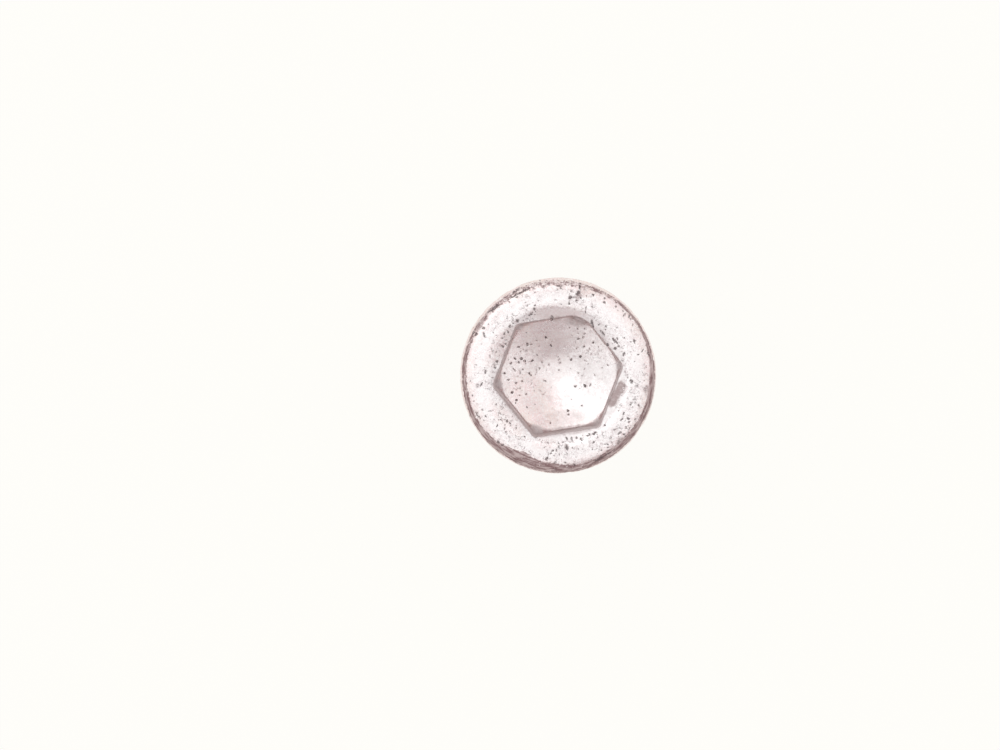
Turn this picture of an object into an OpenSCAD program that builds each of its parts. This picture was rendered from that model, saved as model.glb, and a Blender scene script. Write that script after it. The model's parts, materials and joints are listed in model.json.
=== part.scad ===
// Hex socket cap screw, standing on its shank end with the head up.
// The origin is the centre of the end face, and +Z points to the head.

/* [Head] */
// Diameter of the head
head_d = 24; // [22:0.5:27]
// Height of the head above the bearing face
head_h = 16; // [14:0.5:20]
// Radius that rounds the top edge of the head
head_edge_r = 1.5; // [0.5:0.1:2]
// Radial width of the bevel round the foot of the head
head_foot_bevel = 0.4; // [0.2:0.1:1]

/* [Socket] */
// Hexagon width across flats
socket_af = 14; // [10:0.5:15]
// Depth of the hexagon's flats below the top of the head
socket_depth = 8; // [5:0.5:9]
// Included angle of the conical floor
socket_floor_angle = 140; // [120:5:150]
// Radius that rounds the tip of the conical floor
socket_floor_tip_r = 9; // [2:0.5:10]
// Radial width of the countersink outside the hexagon's corners
countersink_margin = 0.4; // [0.1:0.1:0.8]
// Included angle of the countersink
countersink_angle = 120; // [90:5:140]

/* [Shank] */
// Thread major diameter
thread_d = 16; // [14:0.5:18]
// Thread pitch
thread_pitch = 2; // [1:0.25:2.5]
// Length from the bearing face to the end
shank_l = 30; // [25:1:60]
// Length of the plain neck under the head
neck_l = 3; // [2:0.5:6]
// Radius of the fillet between the neck and the head
neck_fillet_r = 0.8; // [0.3:0.1:1]
// Radial step from the thread root in to the rim of the end face
point_step = 0.3; // [0.1:0.1:1]
// Angle of the point's chamfer from the end face
point_angle = 45; // [30:5:60]

/* [Hidden] */

// Number of segments round a full turn
$fn = 128;
// Length by which a cutting shape runs past the surface that it opens
overcut = 1;

// Height of the sharp 60 degree triangle that the thread form is cut from
thread_triangle_h = thread_pitch * cos(30);
// A rolled thread starts from a blank of its pitch diameter, and the neck keeps it
neck_d = thread_d - 3 / 4 * thread_triangle_h;
// Thread root diameter
root_d = thread_d - 17 / 12 * thread_triangle_h;
point_d = root_d - 2 * point_step;
point_h = (thread_d - point_d) / 2 * tan(point_angle);
total_h = shank_l + head_h;

// Hexagon corners lie on this radius
socket_corner_r = socket_af / 2 / cos(30);
// Slope of the conical floor, and the height of its rim above the sharp tip that the cone would have
socket_floor_slope = 90 - socket_floor_angle / 2;
socket_floor_h = socket_corner_r * tan(socket_floor_slope);
countersink_r = socket_corner_r + countersink_margin;
countersink_h = countersink_r / tan(countersink_angle / 2);

// Waste outside a round of radius r, placed with the sharp corner at the origin
module corner_waste(r) {
    translate([-r, -r])
        difference() {
            square(r + overcut);
            circle(r);
        }
}

// Half section of the head, with the top edge rounded and the foot bevelled
module head_section() {
    difference() {
        translate([0, shank_l])
            square([head_d / 2, head_h]);
        translate([head_d / 2, total_h])
            corner_waste(head_edge_r);
        translate([head_d / 2, shank_l])
            polygon([
                [-head_foot_bevel, -overcut],
                [-head_foot_bevel, 0],
                [0, head_foot_bevel],
                [overcut, head_foot_bevel],
                [overcut, -overcut],
            ]);
    }
}

// Half section of the shank at the thread's major diameter, with the neck and the chamfered point
module shank_section() {
    thread_top = shank_l - neck_l;
    neck_bottom = thread_top + (thread_d - neck_d) / 2;
    polygon([
        [0, 0],
        [point_d / 2, 0],
        [thread_d / 2, point_h],
        [thread_d / 2, thread_top],
        [neck_d / 2, neck_bottom],
        [neck_d / 2, shank_l + overcut],
        [0, shank_l + overcut],
    ]);
}

// Half section of the concave fillet where the neck meets the bearing face
module fillet_section() {
    translate([neck_d / 2, shank_l - neck_fillet_r])
        difference() {
            square(neck_fillet_r);
            translate([neck_fillet_r, 0])
                circle(neck_fillet_r);
        }
}

// Hexagon with a corner on +X, from z = low to z = high
module hexagon(low, high) {
    translate([0, 0, low])
        cylinder(r = socket_corner_r, h = high - low, $fn = 6);
}

// Half section of the conical floor, with its tip rounded
module floor_section() {
    flats_bottom = total_h - socket_depth;
    tip_centre = flats_bottom - socket_floor_h + socket_floor_tip_r / cos(socket_floor_slope);
    tangent_r = socket_floor_tip_r * sin(socket_floor_slope);
    tangent_z = tip_centre - socket_floor_tip_r * cos(socket_floor_slope);
    polygon([
        [0, tangent_z],
        [tangent_r, tangent_z],
        [socket_corner_r, flats_bottom],
        [0, flats_bottom],
    ]);
    intersection() {
        translate([0, tip_centre])
            circle(socket_floor_tip_r);
        translate([0, tangent_z - socket_floor_h])
            square([tangent_r, socket_floor_h]);
    }
}

// Conical floor under the flats, kept within the hexagon
module socket_floor() {
    flats_bottom = total_h - socket_depth;
    intersection() {
        hexagon(flats_bottom - socket_floor_h, flats_bottom);
        rotate_extrude()
            floor_section();
    }
}

// Cone that opens the socket's mouth
module countersink() {
    rotate_extrude()
        polygon([
            [0, total_h - countersink_h],
            [countersink_r, total_h],
            [countersink_r, total_h + overcut],
            [0, total_h + overcut],
        ]);
}

// The whole recess, as a cutting shape
module socket() {
    hexagon(total_h - socket_depth, total_h + overcut);
    socket_floor();
    countersink();
}

module screw() {
    color("#d8cdcb")
        difference() {
            rotate_extrude() {
                head_section();
                shank_section();
                fillet_section();
            }
            socket();
        }
}

screw();
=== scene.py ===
"""A worn hex socket cap screw standing on its end, seen from straight above on a white ground."""

import json
import math
from types import SimpleNamespace

import bpy
import numpy as np
from mathutils import Matrix, Vector, noise


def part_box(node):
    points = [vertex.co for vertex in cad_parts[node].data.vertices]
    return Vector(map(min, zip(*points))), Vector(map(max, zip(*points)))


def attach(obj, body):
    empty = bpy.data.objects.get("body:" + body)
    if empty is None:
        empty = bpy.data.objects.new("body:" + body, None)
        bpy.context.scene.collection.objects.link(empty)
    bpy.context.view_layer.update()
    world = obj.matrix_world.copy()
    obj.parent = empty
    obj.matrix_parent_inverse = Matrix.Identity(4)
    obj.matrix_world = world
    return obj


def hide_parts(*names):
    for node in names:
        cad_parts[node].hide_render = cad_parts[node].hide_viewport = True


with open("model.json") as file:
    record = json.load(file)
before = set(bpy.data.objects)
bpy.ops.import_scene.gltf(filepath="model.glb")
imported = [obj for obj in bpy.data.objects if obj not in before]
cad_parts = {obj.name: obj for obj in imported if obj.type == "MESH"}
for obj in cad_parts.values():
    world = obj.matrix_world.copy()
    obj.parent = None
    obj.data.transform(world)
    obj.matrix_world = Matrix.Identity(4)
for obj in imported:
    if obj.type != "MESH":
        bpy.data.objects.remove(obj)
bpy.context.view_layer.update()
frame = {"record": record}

MM = 0.001

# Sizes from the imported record
MOUNTS = {mount["name"]: mount for mount in frame["record"]["mounts"]}
HEAD_R = MOUNTS["head"]["dims"]["r_mm"] * MM
THREAD_R = MOUNTS["thread"]["dims"]["r_mm"] * MM
BEARING_Z = MOUNTS["bearing_face"]["pos_m"][2]
TOP_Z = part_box("screw")[1].z

# Head and socket, as on the solid
HEAD_EDGE_R = 1.5 * MM
FOOT_BEVEL = 0.4 * MM
SOCKET_AF = 14 * MM
SOCKET_DEPTH = 8 * MM
FLOOR_ANGLE = math.radians(140)
FLOOR_TIP_R = 9 * MM
COUNTERSINK_MARGIN = 0.4 * MM
COUNTERSINK_ANGLE = math.radians(120)
# Wear and dirt have rounded the hexagon's corners, one more than the others, and webbed them at the
# floor. The corners are listed from the one on +X.
CORNER_ROUND = np.array([0.9, 3.2, 1.0, 0.8, 0.7, 0.8]) * MM
CORNER_WEB = np.array([0.6, 0.9, 0.6, 0.7, 0.9, 0.6]) * MM
# Length of the hollow along the foot of the flats, away from the corners
FOOT_WEB = 0.2 * MM
# Widths by which the countersink's edges are worn: on the flats, above them, and on the top
FLAT_WEAR, BEVEL_WEAR, MOUTH_WEAR = 0.15 * MM, 0.12 * MM, 0.5 * MM

# Shank, as on the solid
PITCH = 2 * MM
NECK_L = 3 * MM
NECK_FILLET_R = 0.8 * MM
POINT_STEP = 0.3 * MM
POINT_ANGLE = math.radians(45)
# Height over the end at which the thread's rows stop, and how close to a level ring they may come
THREAD_LOW_Z = 0.05 * MM
ROW_SNAP = 0.03 * MM

# Sizes that follow from those
TRIANGLE_H = PITCH * math.cos(math.radians(30))
NECK_R = THREAD_R - 3 / 8 * TRIANGLE_H
ROOT_R = THREAD_R - 17 / 24 * TRIANGLE_H
POINT_R = ROOT_R - POINT_STEP
NECK_Z = BEARING_Z - NECK_L
SIDE_ANGLE = math.radians(60)
APOTHEM = SOCKET_AF / 2
CORNER_R = APOTHEM / math.cos(math.radians(30))
COUNTERSINK_R = CORNER_R + COUNTERSINK_MARGIN
FLOOR_Z = TOP_Z - SOCKET_DEPTH
FLOOR_SLOPE = math.radians(90) - FLOOR_ANGLE / 2
TIP_CENTRE_Z = FLOOR_Z - CORNER_R * math.tan(FLOOR_SLOPE) + FLOOR_TIP_R / math.cos(FLOOR_SLOPE)
APEX_Z = TIP_CENTRE_Z - FLOOR_TIP_R

# Depth under the top down to which the photograph shows the rounded edge
EDGE_SEEN = 1.6 * MM
# The grimy side of the head begins at this depth, and lies further from the axis than this
SIDE_DEPTH, SIDE_FROM = 1.45 * MM, 10 * MM
# The shank and the socket's hexagon lie within these distances from the axis
SHANK_REACH, SOCKET_REACH = 9 * MM, 8.3 * MM
# The socket's floor lies under this height, and all of its inside over this one
FLOOR_TOP_Z, SOCKET_LOW_Z = FLOOR_Z + 0.2 * MM, BEARING_Z + MM
# Depth from the thread's crests at which its grooves are at their darkest
GROOVE_DEPTH = 1.2 * MM

# Edges of the mesh that bend by more than this stay sharp
SHARP_ANGLE = math.radians(40)
# Columns of the mesh round a full turn: multiples of 6 put one on each corner of the hexagon
HEAD_COLUMNS = 504
SHANK_COLUMNS = HEAD_COLUMNS // 2

# The photograph's frame and the head's outline in it, in its pixels
FRAME_W, FRAME_H = 1000, 750
HEAD_PX = (557.75, 375.75)
HEAD_DIAMETER_PX = 197.2
PIXEL = 2 * HEAD_R / HEAD_DIAMETER_PX
# How far the hexagon's corners are turned in the photograph from its horizontal
PHOTO_TURN = math.radians(9.0)
# The eye's height over the top of the head, and how far it stands right of and above the axis
EYE_HEIGHT, EYE_RIGHT, EYE_UP = 240 * MM, 3.0 * MM, 5.8 * MM

# The dark band round the rim, as seen in the photograph: oxide in the rounded edge, made wider and darker
# by painted shade where the edge turns from the light. Degrees round the picture from its right,
# millimetres from the head's centre to its inner and its outer edge, and its strength
RIM_GRIME_AND_SHADE = [
    (0, 11.2, 11.87, 0.9), (24, 11.5, 11.8, 0.85), (48, 11.48, 11.79, 0.78), (72, 11.12, 11.68, 0.55),
    (96, 10.95, 11.75, 0.5), (120, 11.0, 11.68, 0.55), (144, 11.1, 11.7, 0.52), (168, 11.3, 11.77, 0.8),
    (192, 11.15, 11.74, 0.82), (212, 11.25, 11.82, 0.88), (228, 10.95, 11.84, 0.9),
    (240, 10.4, 11.84, 0.85), (247, 10.15, 11.87, 0.82), (256, 10.6, 11.9, 0.76),
    (270, 10.75, 11.94, 0.76), (284, 11.12, 11.95, 0.8), (298, 11.0, 11.9, 0.8),
    (315, 11.02, 11.85, 0.83), (332, 11.22, 11.87, 0.88), (345, 11.25, 11.88, 0.9),
]

# Painted shade on the socket's wall, in the film's colour: degrees round the picture, then its strength at
# the mouth and at the foot
WALL_SHADE = [
    (9, 0.45, 0.2), (22, 0.5, 0.1), (39, 0.6, 0.1), (55, 0.6, 0.1), (69, 0.35, 0.2), (80, 0.4, 0.2),
    (90, 0.4, 0.15), (105, 0.45, 0.1), (118, 0.5, 0.15), (129, 0.45, 0.25), (142, 0.6, 0.3),
    (159, 0.65, 0.3), (176, 0.6, 0.3), (189, 0.45, 0.3), (204, 0.65, 0.25), (219, 0.7, 0.2),
    (235, 0.65, 0.3), (249, 0.4, 0.3), (258, 0.5, 0.5), (270, 0.3, 0.65), (284, 0.3, 0.65),
    (297, 0.5, 0.4), (309, 0.5, 0.25), (322, 0.6, 0.1), (339, 0.65, 0.05), (354, 0.55, 0.15),
]

# How densely the ring round the socket is pitted: degrees round the picture, and a share
RING_PITTING = [
    (0, 0.6), (35, 0.6), (60, 0.6), (75, 0.6), (92, 0.5), (110, 0.55), (128, 0.8), (150, 0.35),
    (180, 0.4), (210, 0.4), (240, 0.55), (256, 0.85), (270, 1.0), (288, 0.35), (305, 0.65), (320, 0.75),
    (338, 0.9), (350, 0.6),
]

# Pits, nicks and scratches, in the photograph's pixels: across, down, length, width, the turn of the
# length from the picture's horizontal, and how dark each is
MARKS = [
    # The notch in the top edge and the nicks beside it
    (579.8, 286, 8, 2.2, 84, 0.9), (577.6, 293.5, 6, 2.8, 65, 0.9), (574.8, 297.3, 3, 2.4, 20, 0.9),
    (576.5, 301, 3, 2, -60, 0.9),
    (571.3, 291.5, 2.4, 2, -50, 1.0), (570.3, 297.5, 4.5, 2.5, 45, 1.0), (569, 304, 3, 2, -30, 1.0),
    (592.6, 294.5, 2.6, 2.2, 60, 1.0), (580.5, 298, 2.5, 1.8, -60, 0.8), (592, 307, 2.4, 1.6, 0, 0.7),
    (560.5, 304.5, 2.2, 1.6, 0, 0.7), (556, 300.5, 4, 1.2, -30, 0.5), (538.3, 301, 2, 1.8, 50, 0.7),
    (558.3, 286, 3, 1.8, 0, 0.9), (561, 287.5, 2, 4, 0, 0.7), (530.5, 291, 2.2, 2, 0, 0.7),
    (535, 293, 3.5, 1.2, 45, 0.6), (534, 289, 5, 1.4, 10, 0.5), (543.6, 287, 6, 1.8, 80, 0.5),
    # Upper right
    (586, 310, 9, 1.5, 78, 0.7), (594.5, 318, 2.2, 1.8, 0, 0.8), (592, 323.8, 8.5, 2.4, -80, 1.0),
    (598.7, 324.4, 2, 2, 0, 0.9), (605.6, 326.2, 3, 1.5, -45, 0.8), (602.4, 333.6, 9, 2.3, -58, 0.9),
    (604.7, 330, 2.2, 1.6, -40, 0.8), (607.6, 345, 3.2, 2.6, -50, 1.0), (605.2, 298.2, 4, 1.8, -20, 0.7),
    (604, 302.2, 3.4, 1.9, 0, 0.9), (615.6, 306.4, 2, 2.6, 0, 0.6), (622.8, 310.4, 3, 1.8, -60, 0.8),
    (618, 310.4, 2, 2, 0, 0.5), (624.2, 315.3, 6, 1.5, 42, 0.9), (629.7, 318, 5.5, 1.4, -55, 0.8),
    (632.5, 324.4, 4, 1.3, -85, 0.6), (631, 330.2, 2, 1.6, 0, 0.5), (614.5, 341, 9, 2.2, -55, 1.0),
    (617, 338.5, 4, 1.6, -60, 0.8), (614.7, 348.6, 2.8, 2.4, 0, 1.0), (618.5, 346.5, 2.4, 3, 0, 0.9),
    (624.2, 338.2, 2.4, 1.4, 0, 0.6), (634, 341, 3.4, 1.6, -60, 0.9), (642.4, 350.5, 3.4, 1.7, 45, 0.9),
    (637.8, 355, 3.2, 1.3, 35, 0.8), (623.5, 354.4, 4.5, 2.5, 60, 0.9), (621.3, 360.4, 3, 2, -50, 0.6),
    (633.6, 361.4, 3, 1.2, 0, 0.5), (646.2, 366.7, 1.8, 1.8, 0, 0.8), (648.5, 353.5, 5, 2.2, -75, 0.8),
    # Lower right
    (630.9, 381.5, 5.5, 2.7, -65, 1.0), (627.8, 376.5, 5, 1.8, -85, 0.5), (637, 385.5, 6, 2.6, -70, 0.5),
    (630.4, 403.9, 4.2, 2.2, -70, 1.0), (639, 405.5, 4, 2.2, -75, 0.6), (635, 398, 4, 1.6, 60, 0.4),
    (623.8, 413.5, 3.4, 1.8, 70, 0.8), (618.6, 410.5, 2, 1.6, 0, 0.5), (622.4, 419.2, 4, 2.2, 60, 0.6),
    (628, 418.3, 3.4, 2, -40, 0.9), (628.4, 421.8, 2, 2, 0, 0.9), (635.7, 419.3, 3.2, 2.4, 60, 0.7),
    (620.2, 431.8, 2.4, 2, 0, 1.0), (623.8, 434, 3, 1.6, -45, 0.9), (618, 433.4, 2.4, 1.4, 20, 0.7),
    (615, 429.5, 4.5, 2.4, 45, 0.5), (611, 436.6, 2, 2, 0, 0.7), (619.3, 441.8, 8, 3, 62, 0.5),
    (626, 427.3, 3, 1.4, -30, 0.8), (630.6, 427.5, 3, 1.6, 30, 0.8), (604.6, 425, 2.8, 2, -60, 0.9),
    (603.4, 443.9, 7, 1.2, -3, 0.5), (607.3, 444.5, 2, 1.4, 0, 0.8), (608, 448, 3.6, 1.7, -55, 0.8),
    (601.6, 450.6, 2, 1.8, 0, 0.8), (594.8, 432.8, 5.5, 2.8, 35, 1.0), (588.3, 435, 4.2, 1.8, 40, 1.0),
    (593.6, 442.4, 4.6, 1.6, 50, 1.0), (592.7, 448.6, 3.2, 1.7, 85, 0.8), (582.7, 449.2, 2.4, 1.4, 0, 0.5),
    # Bottom
    (580.9, 438.3, 4.6, 1.6, -60, 0.9), (576.6, 437.3, 2.2, 2, 0, 0.8), (572, 438.8, 5, 1.9, -75, 0.7),
    (566.8, 438, 3.8, 1.7, -65, 0.9), (573, 447.4, 2, 1.9, 0, 0.9), (566.6, 447, 5, 3.6, -40, 0.6),
    (567.4, 448.7, 2.4, 1.6, -20, 1.0), (558.7, 447.2, 2, 1.9, 0, 0.9), (556.7, 450, 3, 2, 60, 1.0),
    (552.3, 452.2, 6.5, 1.4, 50, 0.9), (547, 458.7, 4.6, 2.2, 60, 1.0), (559.2, 454.6, 2.3, 2.2, 0, 1.0),
    (558, 443, 3.4, 1.2, -20, 0.6), (565.4, 462.4, 2.4, 1.6, 0, 0.8), (555.4, 462.6, 4, 1.6, 20, 0.8),
    (574.8, 465, 3.4, 2, -30, 0.8), (575.8, 457.7, 4, 1.8, 85, 0.4), (563, 441.5, 2.6, 1.2, 20, 0.5),
    # Lower left
    (507.2, 421.5, 3, 2.1, -60, 1.0), (502.3, 419.7, 8.5, 1.2, 5, 0.8), (510.4, 423.3, 3, 1.3, -25, 0.8),
    (497.3, 425.6, 3.6, 1.4, 60, 0.8), (504.6, 428.5, 3.2, 1.5, 70, 0.6), (506, 431.8, 2, 2, 0, 0.7),
    (524.8, 436.4, 2, 1.9, 0, 0.9), (516.4, 428, 2, 1.6, 0, 0.6), (516.4, 433.6, 1.8, 2.4, 0, 0.5),
    (525, 447.3, 3, 1.4, 40, 0.7), (498.3, 442, 3.4, 2.4, -40, 1.0), (502.7, 444.8, 3, 1.8, 30, 0.8),
    (496.3, 404.3, 2.2, 2, 0, 0.8), (491.8, 403.7, 3.2, 1.4, -45, 0.6), (482.2, 409.7, 3.8, 2.1, -25, 0.6),
    (490.7, 411.2, 8, 1.3, 20, 0.5), (485.6, 416.5, 3.4, 1.5, -60, 0.7), (478, 416, 13, 1.5, -62, 0.9),
    # Left
    (481.4, 384.4, 4.6, 1.9, 52, 1.0), (477.8, 386, 5, 3.4, 30, 0.4), (485.4, 371.6, 4, 2.1, 80, 1.0),
    (475.5, 364.8, 3.4, 1.7, -15, 0.6), (472.4, 395.5, 6, 1.6, -60, 0.8), (471, 382, 3, 1.6, -30, 0.6),
    (497.2, 361.1, 2.4, 2.3, 0, 1.0), (495.2, 367.2, 3, 2.2, -50, 0.7), (493.4, 372.4, 2.4, 2, 0, 0.7),
    (494.2, 392.2, 2.2, 1.8, 0, 0.5), (496.3, 352.5, 1.9, 1.8, 0, 0.8), (489.4, 355.4, 4.2, 1.3, 85, 0.5),
    (481.8, 344.2, 3, 1.8, 85, 0.4), (484.8, 335, 7.5, 1.6, -70, 0.8), (483.2, 328.3, 3, 1.7, 30, 1.0),
    (488.5, 324.2, 2.2, 1.5, 85, 0.8), (476, 334.4, 4.4, 1.8, 60, 0.9),
    # Upper left
    (503.9, 326, 2, 1.9, 0, 0.9), (517.5, 321.2, 3.4, 2.4, 60, 1.0), (513, 323.3, 2.2, 1.8, 0, 0.9),
    (523.2, 320.8, 3, 1.7, 80, 0.6), (510.1, 326.4, 3, 2, 70, 0.7), (508, 331.3, 4.4, 1.4, -60, 0.9),
    (504.6, 333.8, 3.8, 1.8, 65, 0.8), (502.3, 338.4, 3.2, 1.4, 0, 0.7), (506.4, 340.2, 3.2, 1.4, 0, 0.6),
    (503.2, 346.5, 3.2, 2.2, -75, 1.0), (505.8, 344.2, 2.2, 2, 0, 0.7), (494.7, 329.4, 4, 1.5, 45, 0.4),
    (534.8, 309.8, 4.6, 2, -70, 1.0), (530.8, 314.3, 8, 1.8, 42, 1.0), (534.8, 305.8, 2.6, 1.5, 80, 0.8),
    (535, 315, 2.4, 1.6, 0, 0.7), (509.7, 302.3, 3.6, 1.7, -50, 1.0), (517.3, 297.6, 3.4, 2, 0, 0.6),
    (527.5, 305.5, 7, 1.3, 28, 0.5), (521.9, 309.2, 4.2, 1.3, 20, 0.5), (551.8, 318.4, 5.5, 3.6, 80, 0.7),
    # Along the rim
    (493.5, 308.5, 14, 2.8, 39, 1.0), (515.5, 290.5, 15, 2.2, 32, 0.7), (519.5, 293, 26, 2.4, 28, 0.8),
    (602.5, 457, 24, 2.6, 30, 0.7), (473.3, 332.4, 5, 2.2, 65, 0.9),
    # The socket's floor
    (546.6, 337.6, 2.2, 1.9, -60, 1.0), (536.6, 340.5, 2.4, 1.5, 0, 0.8), (527.4, 344.3, 3.2, 1.9, 80, 0.9),
    (518.4, 346.9, 3.4, 1.8, 15, 0.9), (551, 345.7, 2.1, 2, 0, 0.9), (552.4, 342, 2, 2, 0, 0.5),
    (521.4, 358.6, 2.7, 2.1, 0, 1.0), (524.9, 361.3, 2.9, 2.2, -45, 1.0), (515, 358.6, 2.7, 1.9, 0, 0.9),
    (511, 363, 2.4, 2, 60, 0.9), (532.5, 360.7, 2.3, 2.2, 0, 1.0), (537.1, 355.2, 2.2, 1.6, 0, 0.7),
    (530, 373.3, 2.2, 2.1, -40, 0.9), (504.7, 373.2, 2.8, 1.8, 0, 1.0), (508.7, 380, 2, 1.9, 0, 0.8),
    (516.4, 382.8, 2.2, 1.8, 0, 0.9), (512.4, 392.1, 2.8, 2.2, -60, 1.0), (526.5, 393.9, 2.2, 2, 0, 0.8),
    (516.7, 399.9, 2.1, 2, 0, 0.9), (515.3, 402.8, 1.9, 1.8, 0, 0.9), (527.1, 407.1, 2.1, 2, 0, 0.8),
    (550.1, 423, 1.9, 1.8, 0, 0.7), (577.7, 328.7, 2, 1.9, 0, 0.8), (570, 328.4, 3, 1.6, 50, 0.6),
    (583.2, 337.5, 2.1, 1.8, 0, 0.8), (592.9, 342.6, 2.3, 2.2, 0, 0.9), (584, 346.6, 2.2, 2.1, 0, 1.0),
    (598.7, 347.1, 2, 1.7, 0, 0.8), (580, 356.6, 2.3, 2.2, 0, 1.0), (570.8, 360, 2.5, 2.2, 0, 0.8),
    (560.2, 363.3, 2.4, 1.8, 0, 1.0), (558.8, 360, 5, 1.2, 45, 0.6), (578, 372.7, 2.9, 1.7, -45, 0.8),
    (584.8, 385.6, 3.4, 2.1, -60, 1.0), (575, 386, 2.8, 1.8, 35, 0.9), (590, 384.6, 3.8, 1.3, 55, 0.6),
    (594.3, 374.8, 4, 1.2, -50, 0.5), (568.3, 410.5, 2.9, 2.1, 60, 1.0), (569, 414.4, 2, 1.8, 0, 0.8),
    (581.3, 405.3, 2, 1.9, 0, 0.8), (544.4, 380.6, 5, 1.6, -38, 0.6), (559, 370.4, 2, 1.8, 0, 0.6),
    # Faint marks on the left of the floor
    (518.9, 362.5, 2.4, 1.8, 60, 0.7), (514.1, 369.4, 6, 1.6, -48, 0.55), (520.5, 372.6, 3.4, 1.6, -75, 0.6),
    (523.2, 369.4, 2.4, 2, 60, 0.5), (518, 376.5, 2.2, 1.8, 0, 0.6), (522.3, 380.9, 3, 1.8, -25, 0.6),
    (509.5, 385.7, 2.2, 1.8, 0, 0.4), (520.5, 387.8, 3.6, 1.8, 45, 0.45), (516.1, 389.4, 7, 1.6, -40, 0.5),
    (520, 395.1, 3.4, 1.7, -5, 0.5), (505.6, 389.1, 2.2, 1.8, 0, 0.4), (507, 395.1, 2.4, 1.8, -60, 0.4),
    (534.3, 390.7, 2.2, 2, 0, 0.4), (539.6, 368.2, 2.2, 2, 0, 0.6), (536.5, 371, 7, 1.6, 88, 0.35),
    (543.9, 367, 5, 1.6, -72, 0.35), (542.3, 362, 4.4, 1.7, -50, 0.45), (549.2, 364.6, 2.4, 1.7, -20, 0.55),
    (531.6, 383.6, 4, 1.6, 60, 0.35), (534.4, 385.8, 5, 1.6, 65, 0.3), (540.7, 390, 5, 1.8, -25, 0.3),
    (543.5, 393.7, 3.4, 1.8, 20, 0.4), (532.7, 352.4, 2.2, 1.8, 0, 0.55), (531.3, 344.4, 2.2, 2, 0, 0.65),
    (538.6, 346.9, 3.6, 1.7, 55, 0.5), (526.5, 351, 4.4, 1.8, 45, 0.35), (525.5, 363.9, 4, 1.8, -70, 0.4),
    (531.5, 375.1, 2, 1.7, -50, 0.6), (535.2, 404, 2.6, 1.8, -50, 0.35), (556.5, 356, 2.4, 1.7, 75, 0.5),
    # Faint marks on the right of the floor
    (578.1, 338.6, 3.2, 2.2, 20, 0.6), (584.8, 333.8, 2.4, 1.8, 80, 0.5), (578.1, 333.8, 2.2, 2, 0, 0.4),
    (577, 348, 3.4, 1.7, 60, 0.5), (564.6, 347.1, 2.2, 2, 0, 0.35), (589.8, 349.2, 2.8, 1.8, -45, 0.6),
    (587.5, 350.5, 2.6, 1.8, -30, 0.5), (568.5, 357, 2.8, 1.7, -20, 0.5), (573.8, 356.5, 3.2, 1.7, 0, 0.35),
    (585.3, 360.9, 5, 1.8, -20, 0.4), (591.2, 354.4, 3.8, 1.8, 80, 0.35), (595.4, 354, 4.2, 1.8, 85, 0.35),
    (596.7, 361.3, 4.2, 1.8, 75, 0.35), (607.3, 364.8, 2.4, 2, -30, 0.6), (604.8, 356.5, 2.4, 1.7, 0, 0.35),
    (584.1, 368.9, 2.2, 2, 0, 0.4), (581.6, 375.6, 2.6, 1.7, 20, 0.35), (602, 372.6, 2.6, 1.7, 60, 0.3),
    (601.6, 379.2, 2.8, 1.7, 0, 0.3), (605, 377.4, 3.2, 1.8, 85, 0.3),
]

# Patches of thin grey-brown film, and of painted shade on the countersink's top and upper left, along the
# socket's walls and on the floor's lower part, in the same pixels: across, down, half length, half width,
# turn and strength
FILM_AND_SHADE_PATCHES = [
    (620.9, 387.8, 6.2, 4.2, 83, 1.3), (612.5, 401.4, 5.6, 3.9, 50, 1.3), (616, 394.4, 7.5, 4.2, 62, 1.25),
    (646, 389.3, 4.2, 3.2, 80, 0.75), (619.3, 442.2, 5.5, 2.6, 62, 0.6), (614.5, 430.5, 4.5, 2.6, 42, 0.35),
    (611.5, 440, 3.6, 3.0, 0, 0.3), (478, 386, 2.8, 2.5, 0, 0.3), (589.8, 294.8, 2.4, 2.2, 0, 0.4),
    (583, 291, 4.5, 6.5, -25, 0.4), (561, 287, 3.8, 3.0, -30, 0.35), (543.5, 288, 3.5, 1.8, 80, 0.35),
    (566.4, 446.8, 3.6, 2.8, -40, 0.5), (480.8, 323.5, 9.0, 2.8, 57, 0.7), (505.5, 300, 3.2, 2.2, 35, 0.6),
    (576, 321.5, 11.0, 4.5, -5, 0.45), (502, 349, 22.0, 4.0, 68, 0.08), (523, 319, 10.0, 4.0, 25, 0.12),
    (499.5, 393, 9.0, 2.5, -65, 0.3), (548, 444, 5.0, 3.5, 20, 0.2), (560, 419, 24, 8, 8, 0.2),
    (557, 318.5, 5.0, 3.0, 10, 0.4), (556, 314, 22.0, 5.0, -2, 0.25), (566, 427.8, 24, 1.8, 8, 0.5),
    (566, 433.3, 25, 1.6, 8, 0.55), (511.7, 411.4, 17, 1.5, -52, 0.45), (535, 406, 13, 8, -40, 0.1),
    (578.2, 295, 5.0, 2.6, 75, 0.8), (570.5, 298.3, 3.0, 2.2, 40, 0.5), (566, 302.5, 9.0, 2.2, 8, 0.15),
    (601.3, 336.1, 10, 1.7, -50, 0.4), (613, 353, 5.5, 1.6, -55, 0.4), (558, 450, 22, 8, 0, 0.07),
    (640, 372, 6, 16, 0, 0.07), (557, 292, 22, 6, 0, 0.06),
]

# Places round the socket that are nearly free of pits, in the same pixels: across, down, half length,
# half width and turn
CLEAN_PATCHES = [
    (614, 313, 20, 8, -42), (512, 307, 14, 5, 32), (480, 352, 17, 6, 70), (486, 400, 12, 6, -60),
    (533, 447, 12, 4, -25), (615, 419, 13, 5, 55), (636, 362, 10, 6, 85), (557, 300, 18, 5, 3),
    (557, 314, 22, 6, 0),
]
# Share of the pits that such a place is free of
CLEAN_SHARE = 0.85

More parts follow.
